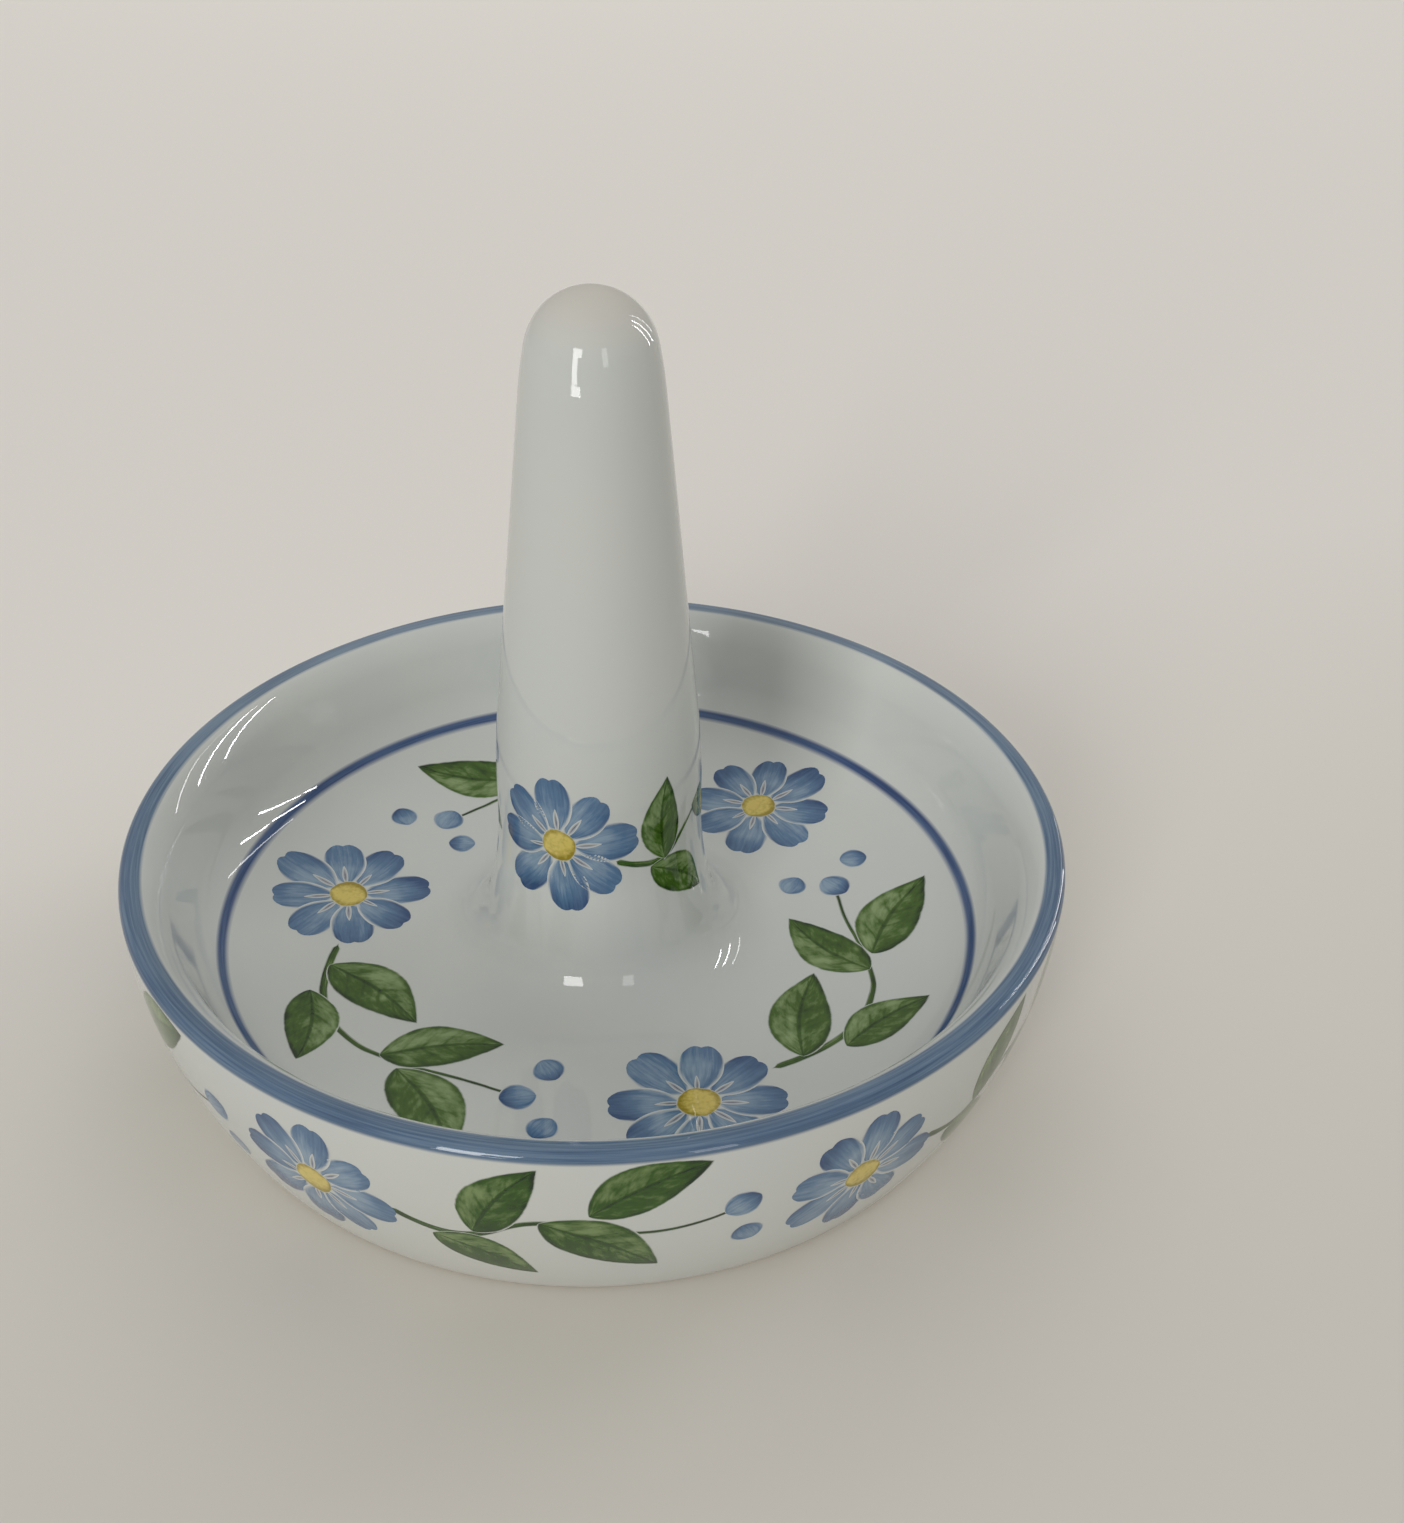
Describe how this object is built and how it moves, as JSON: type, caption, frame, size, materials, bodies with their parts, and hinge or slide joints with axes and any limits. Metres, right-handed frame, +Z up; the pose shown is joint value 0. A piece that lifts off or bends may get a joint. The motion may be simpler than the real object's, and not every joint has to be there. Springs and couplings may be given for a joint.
{
  "type": "ring dish",
  "caption": "Small round glazed porcelain dish with a rolled rim and a tapered, domed post rising from its middle to hold finger rings.",
  "frame": {"origin": "centre of the foot ring, on the surface that the dish stands on", "axes": "+Z up along the post, which is the axis that the dish is turned about; +Y away from the side that shows in front"},
  "size_m": [0.088, 0.088, 0.0701],
  "materials": {
    "dish_glaze": "gloss clear glaze over white porcelain, bare clay under the foot ring",
    "post_glaze": "gloss clear glaze over white porcelain",
    "slip_glaze": "fired porcelain slip under gloss clear glaze",
    "rim_blue": "blue painted bands under gloss glaze",
    "petal_blue": "blue painted blossoms under gloss glaze",
    "leaf_green": "green painted leaves and stems under gloss glaze",
    "eye_yellow": "yellow painted blossom eyes under gloss glaze"
  },
  "bodies": {
    "root": {"dish": "dish_glaze", "ring_post": "post_glaze", "slip_bead": "slip_glaze"}
  },
  "joints": []
}
